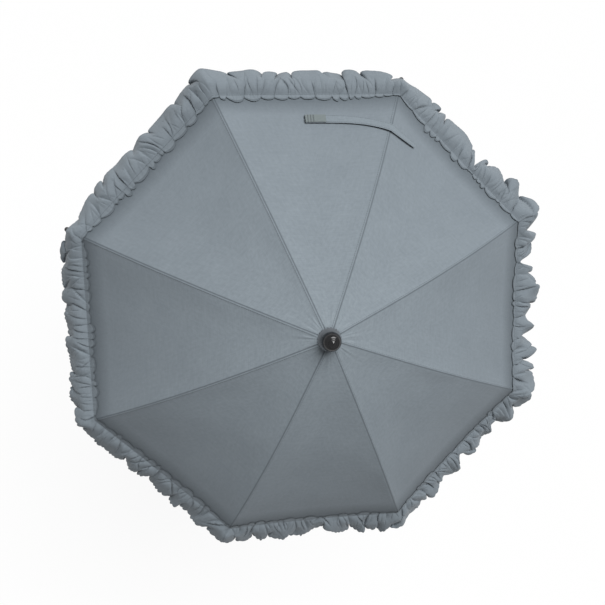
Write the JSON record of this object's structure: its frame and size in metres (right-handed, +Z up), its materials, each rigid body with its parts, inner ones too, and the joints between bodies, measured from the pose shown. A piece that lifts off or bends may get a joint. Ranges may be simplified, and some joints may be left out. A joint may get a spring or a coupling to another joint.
{
  "type": "pram parasol",
  "caption": "Pram parasol with a folding cloth canopy, gathered frill, tilting shaft and screw clamp for a pram tube.",
  "frame": {"origin": "middle of the clamp's bore, which goes round a pram's tube", "axes": "+Z up along the shaft towards the canopy, +Y along the pram's tube, -X towards the clamp's knob"},
  "size_m": [0.6592, 0.6592, 0.7478],
  "materials": {
    "cloth": "woven, matt, slate grey",
    "webbing": "doubled cloth, slate grey",
    "hook_tape": "hook-and-loop tape",
    "painted_steel": "black enamel",
    "tip_plastic": "satin",
    "black_gloss_plastic": "gloss",
    "black_plastic": "fine grain",
    "bright_steel": "bright zinc",
    "shaft_steel": "bright plated tube",
    "pad_rubber": "matt"
  },
  "bodies": {
    "clamp": {"clamp_body": "black_plastic", "jaw_pad": "pad_rubber", "shaft_lower": "shaft_steel", "knuckle_tongue": "black_plastic"},
    "shoe": {"clamp_shoe": "pad_rubber"},
    "screw": {"clamp_screw": "bright_steel", "clamp_knob": "black_plastic"},
    "upper_shaft": {"knuckle_fork": "black_plastic", "knuckle_pin": "bright_steel", "shaft_upper": "shaft_steel", "crown": "black_plastic", "crown_cap": "black_plastic", "top_washer": "bright_steel", "finial": "black_gloss_plastic"},
    "tilt_button": {"tilt_button": "black_plastic"},
    "catch": {"runner_catch": "bright_steel"},
    "runner": {"runner": "black_plastic"},
    "rib_1": {"rib_1": "painted_steel", "rib_tip_1": "tip_plastic", "panel_1": "cloth", "frill_1": "cloth"},
    "stretcher_1": {"stretcher_1": "painted_steel"},
    "rib_2": {"rib_2": "painted_steel", "rib_tip_2": "tip_plastic", "panel_2": "cloth", "frill_2": "cloth", "strap": "webbing", "strap_patch": "hook_tape"},
    "stretcher_2": {"stretcher_2": "painted_steel"},
    "rib_3": {"rib_3": "painted_steel", "rib_tip_3": "tip_plastic", "panel_3": "cloth", "frill_3": "cloth"},
    "stretcher_3": {"stretcher_3": "painted_steel"},
    "rib_4": {"rib_4": "painted_steel", "rib_tip_4": "tip_plastic", "panel_4": "cloth", "frill_4": "cloth"},
    "stretcher_4": {"stretcher_4": "painted_steel"},
    "rib_5": {"rib_5": "painted_steel", "rib_tip_5": "tip_plastic", "panel_5": "cloth", "frill_5": "cloth"},
    "stretcher_5": {"stretcher_5": "painted_steel"},
    "rib_6": {"rib_6": "painted_steel", "rib_tip_6": "tip_plastic", "panel_6": "cloth", "frill_6": "cloth"},
    "stretcher_6": {"stretcher_6": "painted_steel"},
    "rib_7": {"rib_7": "painted_steel", "rib_tip_7": "tip_plastic", "panel_7": "cloth", "frill_7": "cloth"},
    "stretcher_7": {"stretcher_7": "painted_steel"},
    "rib_8": {"rib_8": "painted_steel", "rib_tip_8": "tip_plastic", "panel_8": "cloth", "frill_8": "cloth"},
    "stretcher_8": {"stretcher_8": "painted_steel"}
  },
  "joints": [
    {"name": "shoe_slide", "type": "slide", "parent": "clamp", "child": "shoe", "axis": [1, 0, 0], "range_m": [-0.004, 0.008]},
    {"name": "screw_turn", "type": "hinge", "parent": "shoe", "child": "screw", "pos_m": [-0.04, 0, 0], "axis": [1, 0, 0], "range_deg": [-576, 1152]},
    {"name": "tilt", "type": "hinge", "parent": "clamp", "child": "upper_shaft", "pos_m": [0, 0, 0.268], "axis": [0, 1, 0], "range_deg": [-90, 90]},
    {"name": "tilt_button_press", "type": "slide", "parent": "upper_shaft", "child": "tilt_button", "axis": [0, 1, 0], "range_m": [0, 0.0025], "stiffness_N_per_m": 800},
    {"name": "catch_press", "type": "slide", "parent": "upper_shaft", "child": "catch", "axis": [-1, 0, 0], "range_m": [0, 0.0022], "stiffness_N_per_m": 800},
    {"name": "runner_slide", "type": "slide", "parent": "upper_shaft", "child": "runner", "axis": [0, 0, -1], "range_m": [0, 0.20019], "deforming": ["runner_catch"]},
    {"name": "rib_1_fold", "type": "hinge", "parent": "upper_shaft", "child": "rib_1", "pos_m": [0.01109, 0.00459, 0.7], "axis": [-0.3827, 0.9239, 0], "range_deg": [0, 66.52], "deforming": ["panel_1", "frill_1"]},
    {"name": "stretcher_1_fold", "type": "hinge", "parent": "rib_1", "child": "stretcher_1", "pos_m": [0.13605, 0.05635, 0.66017], "axis": [-0.3827, 0.9239, 0], "range_deg": [-133.04, 0]},
    {"name": "rib_2_fold", "type": "hinge", "parent": "upper_shaft", "child": "rib_2", "pos_m": [0.00459, 0.01109, 0.7], "axis": [-0.9239, 0.3827, 0], "range_deg": [0, 66.52], "deforming": ["panel_2", "frill_2", "strap", "strap_patch"]},
    {"name": "stretcher_2_fold", "type": "hinge", "parent": "rib_2", "child": "stretcher_2", "pos_m": [0.05635, 0.13605, 0.66017], "axis": [-0.9239, 0.3827, 0], "range_deg": [-133.04, 0]},
    {"name": "rib_3_fold", "type": "hinge", "parent": "upper_shaft", "child": "rib_3", "pos_m": [-0.00459, 0.01109, 0.7], "axis": [-0.9239, -0.3827, 0], "range_deg": [0, 66.52], "deforming": ["panel_3", "frill_3"]},
    {"name": "stretcher_3_fold", "type": "hinge", "parent": "rib_3", "child": "stretcher_3", "pos_m": [-0.05635, 0.13605, 0.66017], "axis": [-0.9239, -0.3827, 0], "range_deg": [-133.04, 0]},
    {"name": "rib_4_fold", "type": "hinge", "parent": "upper_shaft", "child": "rib_4", "pos_m": [-0.01109, 0.00459, 0.7], "axis": [-0.3827, -0.9239, 0], "range_deg": [0, 66.52], "deforming": ["panel_4", "frill_4"]},
    {"name": "stretcher_4_fold", "type": "hinge", "parent": "rib_4", "child": "stretcher_4", "pos_m": [-0.13605, 0.05635, 0.66017], "axis": [-0.3827, -0.9239, 0], "range_deg": [-133.04, 0]},
    {"name": "rib_5_fold", "type": "hinge", "parent": "upper_shaft", "child": "rib_5", "pos_m": [-0.01109, -0.00459, 0.7], "axis": [0.3827, -0.9239, 0], "range_deg": [0, 66.52], "deforming": ["panel_5", "frill_5"]},
    {"name": "stretcher_5_fold", "type": "hinge", "parent": "rib_5", "child": "stretcher_5", "pos_m": [-0.13605, -0.05635, 0.66017], "axis": [0.3827, -0.9239, 0], "range_deg": [-133.04, 0]},
    {"name": "rib_6_fold", "type": "hinge", "parent": "upper_shaft", "child": "rib_6", "pos_m": [-0.00459, -0.01109, 0.7], "axis": [0.9239, -0.3827, 0], "range_deg": [0, 66.52], "deforming": ["panel_6", "frill_6"]},
    {"name": "stretcher_6_fold", "type": "hinge", "parent": "rib_6", "child": "stretcher_6", "pos_m": [-0.05635, -0.13605, 0.66017], "axis": [0.9239, -0.3827, 0], "range_deg": [-133.04, 0]},
    {"name": "rib_7_fold", "type": "hinge", "parent": "upper_shaft", "child": "rib_7", "pos_m": [0.00459, -0.01109, 0.7], "axis": [0.9239, 0.3827, 0], "range_deg": [0, 66.52], "deforming": ["panel_7", "frill_7"]},
    {"name": "stretcher_7_fold", "type": "hinge", "parent": "rib_7", "child": "stretcher_7", "pos_m": [0.05635, -0.13605, 0.66017], "axis": [0.9239, 0.3827, 0], "range_deg": [-133.04, 0]},
    {"name": "rib_8_fold", "type": "hinge", "parent": "upper_shaft", "child": "rib_8", "pos_m": [0.01109, -0.00459, 0.7], "axis": [0.3827, 0.9239, 0], "range_deg": [0, 66.52], "deforming": ["panel_8", "frill_8"]},
    {"name": "stretcher_8_fold", "type": "hinge", "parent": "rib_8", "child": "stretcher_8", "pos_m": [0.13605, -0.05635, 0.66017], "axis": [0.3827, 0.9239, 0], "range_deg": [-133.04, 0]}
  ],
  "couplings": [
    {"joint": "screw_turn", "follows": "shoe_slide", "rad_per_m": 2513.2},
    {"joint": "rib_1_fold", "follows": "runner_slide", "rad_per_m": 5.7993},
    {"joint": "stretcher_1_fold", "follows": "runner_slide", "rad_per_m": -11.599},
    {"joint": "rib_2_fold", "follows": "runner_slide", "rad_per_m": 5.7993},
    {"joint": "stretcher_2_fold", "follows": "runner_slide", "rad_per_m": -11.599},
    {"joint": "rib_3_fold", "follows": "runner_slide", "rad_per_m": 5.7993},
    {"joint": "stretcher_3_fold", "follows": "runner_slide", "rad_per_m": -11.599},
    {"joint": "rib_4_fold", "follows": "runner_slide", "rad_per_m": 5.7993},
    {"joint": "stretcher_4_fold", "follows": "runner_slide", "rad_per_m": -11.599},
    {"joint": "rib_5_fold", "follows": "runner_slide", "rad_per_m": 5.7993},
    {"joint": "stretcher_5_fold", "follows": "runner_slide", "rad_per_m": -11.599},
    {"joint": "rib_6_fold", "follows": "runner_slide", "rad_per_m": 5.7993},
    {"joint": "stretcher_6_fold", "follows": "runner_slide", "rad_per_m": -11.599},
    {"joint": "rib_7_fold", "follows": "runner_slide", "rad_per_m": 5.7993},
    {"joint": "stretcher_7_fold", "follows": "runner_slide", "rad_per_m": -11.599},
    {"joint": "rib_8_fold", "follows": "runner_slide", "rad_per_m": 5.7993},
    {"joint": "stretcher_8_fold", "follows": "runner_slide", "rad_per_m": -11.599}
  ]
}
